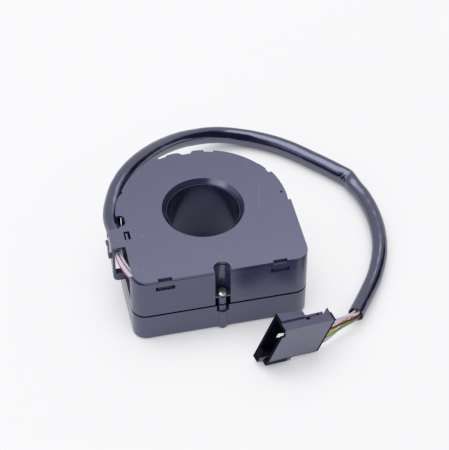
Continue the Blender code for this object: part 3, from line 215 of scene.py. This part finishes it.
# Cable sleeve
# A soft vinyl tube over the six wires, run from the clip round the back of the case to the connector.
# It is extruded and cut square, so both ends stand open, and it kinked once where it was bent too tight.
SLEEVE_ROUTE = (
    (-41.2, -3.1, 31.0), (-40.95, -0.6, 31.0), (-40.9, 1.9, 31.0), (-40.8, 4.6, 31.0), (-40.0, 9.5, 31.0),
    (-38.9, 14.2, 31.0), (-37.2, 19.2, 31.0), (-35.1, 24.2, 31.0), (-32.6, 28.8, 30.9), (-29.4, 34.0, 30.4),
    (-25.3, 39.2, 29.5), (-20.8, 44.5, 28.0), (-16.1, 49.9, 25.8), (-11.1, 55.1, 23.2), (-5.8, 60.4, 20.1),
    (-0.2, 65.3, 16.9), (5.3, 69.3, 13.9), (10.8, 72.3, 11.3), (16.2, 74.5, 9.2), (21.5, 75.6, 7.5),
    (26.7, 75.8, 6.2), (31.7, 75.2, 5.1), (36.6, 73.8, 4.4), (41.2, 71.8, 4.1), (49.7, 66.5, 4.1),
    (57.4, 59.8, 4.1), (64.8, 52.0, 4.1), (71.7, 44.3, 4.1), (75.6, 39.4, 4.1), (77.8, 35.7, 4.1),
    (79.4, 31.4, 4.1), (82.1, 22.6, 4.0), (83.4, 11.5, 3.9), (82.7, -2.0, 3.9), (79.6, -14.6, 3.9),
    (74.4, -26.3, 3.9), (67.5, -37.3, 4.5), (58.4, -50.6, 6.6),
)
SLEEVE_DIAMETER = 7.5
SLEEVE_WALL = 0.55
SLEEVE_STEP = 0.35
SLEEVE_RING_EVERY = 4
SLEEVE_SIDES = 64
SLEEVE_POCKET = 16.0
CURVE_PARTS = 12
ROUND_ANGLE = 50.0
SLEEVE_FULL = 1.07
SLEEVE_DRAWN = 0.96
DRAWN_FROM = (-2.0, 8.0)
CLIP_SQUEEZE = 0.22
CLIP_END = (3.0, 13.0)
KINK_AT = (77.8, 35.7)
KINK_REACH = 9.0
CORNER_ALONG = -0.3
CORNER_SIDE = radians(150.0)
CORNER_BULGE = 0.15
DENT_ALONG = -0.2
DENT_SIDE = radians(32.0)
DENT_DEPTH = 0.24
DENT_LENGTH = 3.6
FOLDS = ((-2.6, -0.05), (-1.2, 0.05), (0.3, -0.07), (1.7, 0.06), (3.1, -0.03))
FOLD_FAN = 115.0
FOLD_WIDTH = (0.30, 0.70)
WAVE_INNER = (0.008, 0.31, 2.0)
WAVE_TOP = (0.005, 0.83, 3.0)
VINYL_DARK = (0.006, 0.007, 0.026, 1.0)
VINYL_PALE = (0.010, 0.011, 0.036, 1.0)
# Flat black that close() mixes in as painted shade.
PAINTED_SHADE_COLOUR = (0.003, 0.003, 0.007, 1.0)


def smooth_curve(route, spacing):
    """Even points on a Catmull-Rom curve through the route's own points."""
    route = [Vector(point) for point in route]
    path = [route[0] * 2 - route[1]] + route + [route[-1] * 2 - route[-2]]
    fine = []
    for before, begin, end, after in zip(path, path[1:], path[2:], path[3:]):
        for k in range(CURVE_PARTS):
            t = k / CURVE_PARTS
            bend = (2 * before - 5 * begin + 4 * end - after) * t ** 2
            twist = (3 * begin - before - 3 * end + after) * t ** 3
            fine.append(0.5 * (2 * begin + (end - before) * t + bend + twist))
    fine.append(route[-1])
    reach = [0.0]
    for begin, end in zip(fine, fine[1:]):
        reach.append(reach[-1] + (end - begin).length)
    count = max(3, round(reach[-1] / spacing))
    points = []
    spot = 0
    for i in range(count + 1):
        goal = reach[-1] * i / count
        while spot < len(fine) - 2 and reach[spot + 1] < goal:
            spot += 1
        share = (goal - reach[spot]) / (reach[spot + 1] - reach[spot])
        points.append(fine[spot].lerp(fine[spot + 1], min(1.0, share)))
    return points


def smooth_step(value, low, high):
    """0 up to low and 1 from high, with an even S between."""
    share = min(1.0, max(0.0, (value - low) / (high - low)))
    return share * share * (3.0 - 2.0 * share)


def sleeve_reach(along, turn, kink):
    """How far the skin stands from the middle line, in share of the radius, at a place along and round it.
    The inner side is at turn 0, the top at a quarter turn. The kink is a dent with folds fanning out of it.
    """
    inner, top = cos(turn), sin(turn)
    off = along - kink
    reach = SLEEVE_FULL - (SLEEVE_FULL - SLEEVE_DRAWN) * smooth_step(off, *DRAWN_FROM)
    for (swell, wave, lag), side in ((WAVE_INNER, inner), (WAVE_TOP, top)):
        reach += swell * sin(along * wave + lag * side)
    reach -= CLIP_SQUEEZE * max(0.0, -inner) * (1.0 - smooth_step(along, *CLIP_END))
    corner = max(0.0, 1.0 - abs(off - CORNER_ALONG) / KINK_REACH)
    reach += CORNER_BULGE * corner ** 1.5 * max(0.0, cos(turn - CORNER_SIDE)) ** 2
    front = max(0.0, cos(turn - DENT_SIDE))
    reach -= DENT_DEPTH * front * exp(-(((off - DENT_ALONG) / DENT_LENGTH) ** 2))
    fan = min(1.0, max(0.0, (FOLD_FAN - degrees(turn if turn < pi else turn - 2 * pi)) / FOLD_FAN))
    narrow, wide = FOLD_WIDTH
    width = narrow + (wide - narrow) * fan
    for fold, lift in FOLDS:
        reach += lift * front ** 1.5 * exp(-(((off - fold * fan) / width) ** 2))
    return reach


def make_sleeve():
    """The skin in rings along the route, turned in at both ends to a pocket as deep as a look can reach."""
    points = smooth_curve(SLEEVE_ROUTE, SLEEVE_STEP)
    runs = [0.0]
    for begin, end in zip(points, points[1:]):
        runs.append(runs[-1] + (end - begin).length)
    kink = min(range(len(points)), key=lambda i: (points[i].xy - Vector(KINK_AT)).length)
    last = len(points) - 1
    near_kink = [abs(run - runs[kink]) < KINK_REACH for run in runs]
    skin_rings = [i for i in range(last) if i % SLEEVE_RING_EVERY == 0 or near_kink[i]] + [last]
    order = [(i, True) for i in reversed(skin_rings) if runs[i] < SLEEVE_POCKET]
    order += [(i, False) for i in skin_rings]
    order += [(i, True) for i in reversed(skin_rings) if runs[last] - runs[i] < SLEEVE_POCKET]
    shape = bmesh.new()
    straight = shape.verts.layers.float_vector.new("straight")
    rings = []
    for i, inside in order:
        heading = (points[min(i + 1, last)] - points[max(i - 1, 0)]).normalized()
        across = heading.cross(Vector((0.0, 0.0, 1.0))).normalized()
        upward = across.cross(heading)
        ring = []
        for k in range(SLEEVE_SIDES):
            turn = 2 * pi * k / SLEEVE_SIDES
            reach = SLEEVE_DIAMETER / 2 * sleeve_reach(runs[i], turn, runs[kink])
            if inside:
                reach -= SLEEVE_WALL
            spot = shape.verts.new(place(*(points[i] + (across * cos(turn) + upward * sin(turn)) * reach)))
            spot[straight] = (reach * cos(turn) * MM, reach * sin(turn) * MM, runs[i] * MM)
            ring.append(spot)
        rings.append(ring)
    for before, after in zip(rings, rings[1:]):
        for k in range(SLEEVE_SIDES):
            shape.faces.new((before[k - 1], before[k], after[k], after[k - 1]))
    shape.faces.new(rings[0])
    shape.faces.new(rings[-1])
    bmesh.ops.recalc_face_normals(shape, faces=shape.faces)
    mesh = bpy.data.meshes.new("vinyl_sleeve")
    shape.to_mesh(mesh)
    shape.free()
    made = bpy.data.objects.new("vinyl_sleeve", mesh)
    bpy.context.collection.objects.link(made)
    mesh.shade_smooth()
    mesh.set_sharp_from_angle(angle=radians(ROUND_ANGLE))
    return made, [place(*point) for point in points]


def grain(surface, scale, detail=2.0, stretch=(1.0, 1.0, 1.0), along=None):
    """Noise of so many waves a metre, on Object coordinates or on an attribute of the mesh."""
    if along:
        point = surface.node("Attribute", {"attribute_name": along}, {}, "Vector")
    else:
        point = surface.node("TexCoord", {}, {}, "Object")
    spread = surface.node("Mapping", {}, {"Vector": point, "Scale": stretch})
    return surface.node("TexNoise", {}, {"Vector": spread, "Scale": scale, "Detail": detail})


def close(surface, colour, roughness, height=None, depth=0.0, shade=None, **constants):
    """The Principled shader that the material ends in. Height feeds its bump, depth metres deep.
    Where shade is 1, the surface is painted black, as painted shade like that at the bottom of a deep groove.
    """
    sockets = {"Base Color": colour, "Roughness": roughness}
    sockets.update({name.replace("_", " "): value for name, value in constants.items()})
    if height:
        sockets["Normal"] = surface.node("Bump", {}, {"Height": height, "Distance": depth})
    shader = surface.node("BsdfPrincipled", {}, sockets)
    # Painted shade: a flat black diffuse is mixed in where shade is 1.
    if shade:
        painted_shade = surface.node("BsdfDiffuse", {}, {"Color": PAINTED_SHADE_COLOUR})
        shader = surface.node("MixShader", {}, {0: shade, 1: shader, 2: painted_shade})
    surface.node("OutputMaterial", {}, {"Surface": shader})


sleeve, sleeve_path = make_sleeve()
sleeve_finish, skin = start("sleeve_vinyl")
drawn = grain(skin, 900.0, 3.0, (1.0, 1.0, 0.06), "straight")
cloud = grain(skin, 60.0, 2.0, (1.0, 1.0, 0.4), "straight")
close(
    skin,
    cloud.mix(VINYL_DARK, VINYL_PALE),
    0.13 + drawn * 0.07,
    grain(skin, 420.0, 2.0, (1.0, 1.0, 0.5), "straight") + drawn * 0.4,
    0.00003,
    IOR=2.4,
    Specular_Tint=(0.72, 0.74, 1.0, 1.0),
)
sleeve.data.materials.append(sleeve_finish)
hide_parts("cable_sleeve")
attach(sleeve, "housing")

# Wires
# Six single wires of stranded copper in coloured vinyl: they lie in three rows of two under the clip, go down
# to the electronics board, and fan out again between the sleeve and the back of the connector.
CLIP_ROUTE = (
    (-41.2, -3.4, 31.0), (-41.3, -7.0, 31.0), (-41.2, -12.0, 31.0), (-41.2, -16.8, 31.1),
    (-39.9, -23.5, 31.4), (-37.8, -29.4, 31.8), (-34.6, -32.8, 31.9),
)
LEAD_PLACES = ((2, 0), (1, 0), (0, 0), (1, 1), (0, 1), (2, 1))
WIRE_DIAMETER = 1.2
WIRE_ROW = 1.5
WIRE_STEP = 0.8
BOARD_TOP = 22.9
PAD_AT = (-30.6, -33.6)
PAD_PITCH = 4.0
LEAD_OVERHANG = 3.2
LEAD_BEND = (0.5, 2.2)
LEAD_FALL = 5.0
BUNDLE_RADIUS = 1.75
BUNDLE_ANGLES = (120, 60, 180, 0, 240, 300)
SLEEVE_END_OUT = 0.3
BUNDLE_ALONG = (-12.0, -4.0, 0.8)
CONNECTOR_AT = Vector((13.55, -70.49, 7.95))
CONNECTOR_TURN = Euler([radians(turn) for turn in (9.24, 16.56, 18.2)]).to_matrix()
CONNECTOR_REAR = 27.0
TERMINAL_FIRST = 3.6
TERMINAL_PITCH = 2.95
TERMINAL_Y = 2.15
WIRE_SEATED = 1.7
WIRE_STRAIGHT = 3.5
WIRE_PALER = 1.16
WIRE_SHADES = (
    ("wire_violet", (0.62, 0.52, 0.68, 1.0)),
    ("wire_pink", (0.72, 0.55, 0.65, 1.0)),
    ("wire_brown", (0.16, 0.05, 0.035, 1.0)),
    ("wire_yellow", (0.66, 0.46, 0.16, 1.0)),
    ("wire_green", (0.22, 0.45, 0.12, 1.0)),
    ("wire_white", (0.62, 0.56, 0.64, 1.0)),
)


def wire(name, route, finish, node):
    """One round wire along its route, closed at both ends."""
    curve = bpy.data.curves.new(name, "CURVE")
    curve.dimensions = "3D"
    curve.bevel_depth = WIRE_DIAMETER / 2 * MM
    curve.bevel_resolution = 4
    curve.use_fill_caps = True
    points = smooth_curve(route, WIRE_STEP)
    spline = curve.splines.new("POLY")
    spline.points.add(len(points) - 1)
    for knot, point in zip(spline.points, points):
        knot.co = (*place(*point), 1.0)
    made = bpy.data.objects.new(name, curve)
    bpy.context.collection.objects.link(made)
    bpy.ops.object.select_all(action="DESELECT")
    made.select_set(True)
    bpy.context.view_layer.objects.active = made
    bpy.ops.object.convert(target="MESH")
    made = bpy.context.object
    bpy.ops.object.shade_smooth_by_angle(angle=radians(ROUND_ANGLE))
    made.data.materials.append(finish)
    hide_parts(node)
    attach(made, "housing")
    return made


def lead_route(row, column):
    """A wire from the sleeve under the clip and down to its pad on the electronics board."""
    lift = (row - 1) * WIRE_ROW
    side = (column - 0.5) * WIRE_ROW
    points = []
    for i, here in enumerate(CLIP_ROUTE):
        before, after = CLIP_ROUTE[max(i - 1, 0)], CLIP_ROUTE[min(i + 1, len(CLIP_ROUTE) - 1)]
        run_x, run_y = after[0] - before[0], after[1] - before[1]
        length = hypot(run_x, run_y)
        points.append((here[0] - side * run_y / length, here[1] + side * run_x / length, here[2] + lift))
    pad_x = PAD_AT[0] + PAD_PITCH * row
    pad_y = PAD_AT[1] + side
    top = CLIP_ROUTE[-1][2] + lift
    if row:
        points.append((pad_x - LEAD_OVERHANG, pad_y, top))
    bend, fall = LEAD_BEND
    points += [(pad_x - bend, pad_y, top - fall), (pad_x, pad_y, top - LEAD_FALL), (pad_x, pad_y, BOARD_TOP)]
    return points


wire_finishes = []
for name, shade in WIRE_SHADES:
    finish, skin = start(name)
    blotch = grain(skin, 240.0)
    paler = tuple(min(1.0, part * WIRE_PALER) for part in shade[:3]) + (1.0,)
    close(skin, blotch.mix(shade, paler), 0.30 + blotch * 0.12, grain(skin, 1500.0), 0.00002)
    wire_finishes.append(finish)

for i, finish in enumerate(wire_finishes):
    wire(f"clip_wire_{i + 1}", lead_route(*LEAD_PLACES[i]), finish, f"board_lead_{i + 1}")

sleeve_end = Vector(SLEEVE_ROUTE[-1])
heading = (sleeve_end - Vector(SLEEVE_ROUTE[-2])).normalized()
across = heading.cross(Vector((0.0, 0.0, 1.0))).normalized()
upward = across.cross(heading)
for i, angle in enumerate(BUNDLE_ANGLES):
    spread = (across * cos(radians(angle)) + upward * sin(radians(angle))) * BUNDLE_RADIUS
    leave = sleeve_end + heading * SLEEVE_END_OUT + spread
    plug_high = TERMINAL_FIRST + (5 - i) * TERMINAL_PITCH
    seat = CONNECTOR_AT + CONNECTOR_TURN @ Vector((CONNECTOR_REAR - WIRE_SEATED, TERMINAL_Y, plug_high))
    outside = CONNECTOR_AT + CONNECTOR_TURN @ Vector((CONNECTOR_REAR + WIRE_STRAIGHT, TERMINAL_Y, plug_high))
    bundled = [leave + heading * along for along in BUNDLE_ALONG]
    route = (*bundled, leave.lerp(outside, 0.5), outside, seat)
    wire(f"plug_wire_{i + 1}", route, wire_finishes[i], f"connector_wire_{i + 1}")

# Case and cover
# The tray, the case and the cover are moulded in one dark, faintly blue plastic. It is satin on top and
# glossier on the walls. Its top is painted paler than its walls, as painted light, and the parting groove
# and a small dent near the right edge are painted black, as painted shade. Handling has left fine streaks,
# small scuffs and a pair of long scratches right of the bore. Bounds on the mesh are in metres, as Object
# coordinates are.
SCRATCHES = (
    ((27.3, 8.3), (23.9, -7.2), 0.10, 1.0), ((27.7, 7.0), (24.6, -5.5), 0.07, 0.6),
    ((-18.0, -20.3), (-16.5, -21.8), 0.50, 0.35), ((3.5, -21.3), (5.4, -22.9), 0.55, 0.35),
)
SCRATCH_TAPER = (-0.001, 0.002)
SCRATCH_SOFT = (0.2, 1.4)
COVER_FACE = (0.0362, 0.0366)
# A small dent in the cover: a dip in the bump, with its hollow painted dark as painted shade.
SHADED_DENT_AT = (36.3, 2.1)
SHADED_DENT_EDGE = (0.0003, 0.0010)
TOP_FACING = (0.5, 0.9)
WORN_COLOUR = (0.22, 0.22, 0.30, 1.0)
CASE_DARK = (0.026, 0.027, 0.066, 1.0)
CASE_PALE = (0.036, 0.037, 0.086, 1.0)
# Painted light: the top's colours, paler than the walls' for the light that falls on the top.
LIT_TOP_DARK = (0.042, 0.043, 0.087, 1.0)
LIT_TOP_PALE = (0.055, 0.056, 0.110, 1.0)
# Heights of the parting groove, which is painted black as painted shade.
SHADED_GROOVE_LOW = 0.01435
SHADED_GROOVE_HIGH = 0.01545
SHADED_GROOVE_EDGE = 0.0001
CASE_EDGE = 0.2
CASE_PARTS = (("cover_plate", "top_cover"), ("case_frame", "upper_housing"), ("case_tray", "lower_housing"))
WELD_DISTANCE = 0.000005
FLAT_ANGLE = 0.5
EDGE_ANGLE = 28.0
SMOOTH_ANGLE = 40.0

case_finish, face = start("case_plastic")
cloud = grain(face, 55.0, 3.0)
streak = grain(face, 420.0, 2.0, (1.0, 0.05, 1.0))
speck = grain(face, 1900.0, 1.0).rise(0.72, 0.80)
scuff = grain(face, 160.0, 4.0).rise(0.60, 0.75) * grain(face, 900.0, 2.0, (1.0, 0.2, 1.0)).rise(0.50, 0.62)
point = face.node("TexCoord", output="Object")
part_x, part_y, part_z = (point.part(axis) for axis in "XYZ")
on_cover = part_z.rise(*COVER_FACE)
satin_and_lit_top = face.node("TexCoord", output="Normal").part("Z").rise(*TOP_FACING)
scratch = None
for begin, end, half_width, strength in SCRATCHES:
    begin, end = place(*begin, 0.0), place(*end, 0.0)
    length = (end - begin).length
    run = (end - begin) / length
    along = (part_x - begin.x) * run.x + (part_y - begin.y) * run.y
    aside = face.math("ABSOLUTE", (part_x - begin.x) * run.y - (part_y - begin.y) * run.x)
    outer, inner = SCRATCH_TAPER
    ends = along.rise(outer, inner) * (1.0 - along.rise(length - inner, length - outer))
    line = (1.0 - aside.rise(*(share * half_width * MM for share in SCRATCH_SOFT))) * ends * strength
    scratch = line if scratch is None else scratch + line
scratch = scratch * on_cover
# The dent: its hollow is painted dark as painted shade, and it dips the bump.
dent_x, dent_y = place(*SHADED_DENT_AT, 0.0).xy
dent_far = face.math("SQRT", (part_x - dent_x) * (part_x - dent_x) + (part_y - dent_y) * (part_y - dent_y))
dent = (1.0 - dent_far.rise(*SHADED_DENT_EDGE)) * on_cover
groove_shade_above = part_z.rise(SHADED_GROOVE_LOW, SHADED_GROOVE_LOW + SHADED_GROOVE_EDGE)
groove_shade_below = 1.0 - part_z.rise(SHADED_GROOVE_HIGH - SHADED_GROOVE_EDGE, SHADED_GROOVE_HIGH)
worn = scratch * 0.5 + scuff * 0.25 + speck * 0.15
# Painted light: up-facing surfaces take the paler top colours.
tone_and_lit_top = satin_and_lit_top.mix(cloud.mix(CASE_DARK, CASE_PALE), cloud.mix(LIT_TOP_DARK, LIT_TOP_PALE))
close(
    face,
    worn.mix(tone_and_lit_top, WORN_COLOUR),
    0.19 + satin_and_lit_top * 0.12 + cloud * 0.05 + streak * 0.04 + worn * 0.2,
    grain(face, 1400.0, 3.0) + streak * 0.35 + scratch * -0.6 - dent * 3.0,
    0.00002,
    # Painted shade: the parting groove and the dent's hollow go towards flat black.
    shade=(dent * 0.8).over(groove_shade_above * groove_shade_below),
    IOR=2.0,
    Specular_Tint=(0.74, 0.74, 1.0, 1.0),
)


def rounded_copy(name, node, width, body="housing"):
    """A moulded part with the small radii of its edges, made from the plain solid that it replaces."""
    bpy.ops.object.select_all(action="DESELECT")
    made = bpy.data.objects.new(name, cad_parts[node].data.copy())
    bpy.context.collection.objects.link(made)
    made.select_set(True)
    bpy.context.view_layer.objects.active = made
    bpy.ops.object.mode_set(mode="EDIT")
    bpy.ops.mesh.select_all(action="SELECT")
    bpy.ops.mesh.remove_doubles(threshold=WELD_DISTANCE)
    bpy.ops.mesh.customdata_custom_splitnormals_clear()
    bpy.ops.mesh.dissolve_limited(angle_limit=radians(FLAT_ANGLE))
    bpy.ops.object.mode_set(mode="OBJECT")
    round_edges = made.modifiers.new("round_edges", "BEVEL")
    round_edges.width = width * MM
    round_edges.segments = 2
    round_edges.limit_method = "ANGLE"
    round_edges.angle_limit = radians(EDGE_ANGLE)
    round_edges.harden_normals = False
    bpy.ops.object.modifier_apply(modifier="round_edges")
    bpy.ops.object.shade_smooth_by_angle(angle=radians(SMOOTH_ANGLE))
    even = made.modifiers.new("even_light", "WEIGHTED_NORMAL")
    even.keep_sharp = True
    bpy.ops.object.modifier_apply(modifier="even_light")
    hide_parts(node)
    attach(made, body)
    return made


def wear(piece, finish):
    """Gives a piece this one material."""
    piece.data.materials.clear()
    piece.data.materials.append(finish)


for name, node in CASE_PARTS:
    wear(rounded_copy(name, node, CASE_EDGE), case_finish)

# Rotor hub
# The ring that the steering shaft drives, moulded in a darker and smoother plastic.
# It runs in the bore of the case and turns with the shaft.
HUB_DARK = (0.012, 0.013, 0.038, 1.0)
HUB_PALE = (0.018, 0.019, 0.050, 1.0)
HUB_EDGE = 0.15

hub_finish, face = start("hub_plastic")
cloud = grain(face, 90.0, 3.0)
close(
    face,
    cloud.mix(HUB_DARK, HUB_PALE),
    0.15 + cloud * 0.05,
    grain(face, 500.0, 2.0),
    0.00001,
    IOR=1.75,
    Specular_Tint=(0.58, 0.60, 1.0, 1.0),
)
wear(rounded_copy("hub_ring", "rotor_hub", HUB_EDGE, "rotor"), hub_finish)

# Connector
# A flat six-way connector in the same dark plastic as the case, with a lock bar, tin plated terminals and no
# lettering. Its plastic is painted paler than the case's, as painted light. Its seams, its mouth and the
# mouth's rim are painted black, as painted shade.
# Painted light: the connector's plastic is coloured paler than the case's for the light that falls on it.
LIT_PLUG_DARK = (0.050, 0.052, 0.100, 1.0)
LIT_PLUG_PALE = (0.068, 0.070, 0.128, 1.0)
# Where the seams, the mouth and its rim lie; there they are painted black as painted shade.
REAR_SEAM = (0.0257, 0.0261)
RAIL_SEAM_LOW = (-0.0010, -0.0007)
RAIL_SEAM_HIGH = (0.0003, 0.0006)
RAIL_FRONT = (0.0010, 0.0014)
MOUTH_WALL = (0.0005, 0.0009)
MOUTH_LOW = (-0.0037, -0.0034)
MOUTH_HIGH = (0.0210, 0.0214)
MOUTH_END = (0.0115, 0.0120)
RIM_END = (0.0001, 0.0003)
PLUG_EDGE = 0.15
LOCK_EDGE = 0.1
TERMINALS = 6

plug_finish, face = start("plug_plastic")
cloud = grain(face, 120.0, 3.0)
point = face.node("TexCoord", output="Object")
plug_x, plug_y, plug_z = (point.dot(axis) - place(*CONNECTOR_AT).dot(axis) for axis in CONNECTOR_TURN.col)
rear_seam_shade = plug_x.rise(*REAR_SEAM)
rail_seam_shade = plug_z.rise(*RAIL_SEAM_LOW) * (1.0 - plug_z.rise(*RAIL_SEAM_HIGH))
rail_seam_shade = rail_seam_shade * (1.0 - plug_y.rise(*RAIL_FRONT))
across_mouth_shade = plug_y.rise(*MOUTH_WALL) * plug_z.rise(*MOUTH_LOW) * (1.0 - plug_z.rise(*MOUTH_HIGH))
mouth_shade = across_mouth_shade * (1.0 - plug_x.rise(*MOUTH_END))
rim_shade = 1.0 - plug_x.rise(*RIM_END)
close(
    face,
    cloud.mix(LIT_PLUG_DARK, LIT_PLUG_PALE),
    0.24 + cloud * 0.08,
    grain(face, 700.0, 2.0),
    0.00001,
    # Painted shade: the seams, the mouth and its rim go towards flat black.
    shade=(rear_seam_shade.over(rail_seam_shade) * 0.9).over(mouth_shade.over(rim_shade) * 0.95),
    IOR=2.0,
    Specular_Tint=(0.76, 0.77, 1.0, 1.0),
)
plug = rounded_copy("plug_shell", "connector_housing", PLUG_EDGE)
lock = rounded_copy("plug_lock", "connector_lock", LOCK_EDGE)
wear(plug, plug_finish)
wear(lock, plug_finish)

# Inner parts
# What lies under the cover: the wiper carrier and its springs, and the two boards with their parts.
# The screw and the terminals are here too. All of these keep the shape of the CAD solids.
INNER_PALER = 1.25
INNER_FINISHES = (
    ("carrier_plastic", (0.50, 0.48, 0.43, 1.0), 0.50, 0.0, ("wiper_carrier",)),
    ("board_laminate", (0.03, 0.16, 0.07, 1.0), 0.40, 0.0, ("track_board", "circuit_board")),
    ("chip_black", (0.02, 0.02, 0.02, 1.0), 0.50, 0.0, (
        "microcontroller", "can_transceiver", "voltage_regulator", "chip_resistor_1", "chip_resistor_2",
        "chip_resistor_3", "chip_resistor_4",
    )),
    ("ceramic", (0.45, 0.36, 0.26, 1.0), 0.55, 0.0, ("chip_capacitor_1", "chip_capacitor_2")),
    ("tin", (0.70, 0.70, 0.68, 1.0), 0.30, 1.0, (
        "quartz_crystal", "electrolytic_capacitor", "link_pin_1", "link_pin_2", "link_pin_3",
        *(f"connector_terminal_{i + 1}" for i in range(TERMINALS)),
    )),
    ("spring_metal", (0.72, 0.52, 0.28, 1.0), 0.30, 1.0, ("wiper_spring_1", "wiper_spring_2")),
    ("screw_steel", (0.80, 0.76, 0.72, 1.0), 0.26, 1.0, ("housing_screw",)),
)
for name, shade, rough, metal, nodes in INNER_FINISHES:
    finish, face = start(name)
    cloud = grain(face, 400.0, 3.0)
    paler = tuple(min(1.0, part * INNER_PALER) for part in shade[:3]) + (1.0,)
    close(face, cloud.mix(shade, paler), rough + cloud * 0.1, grain(face, 2500.0), 0.00001, Metallic=metal)
    for node in nodes:
        wear(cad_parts[node], finish)
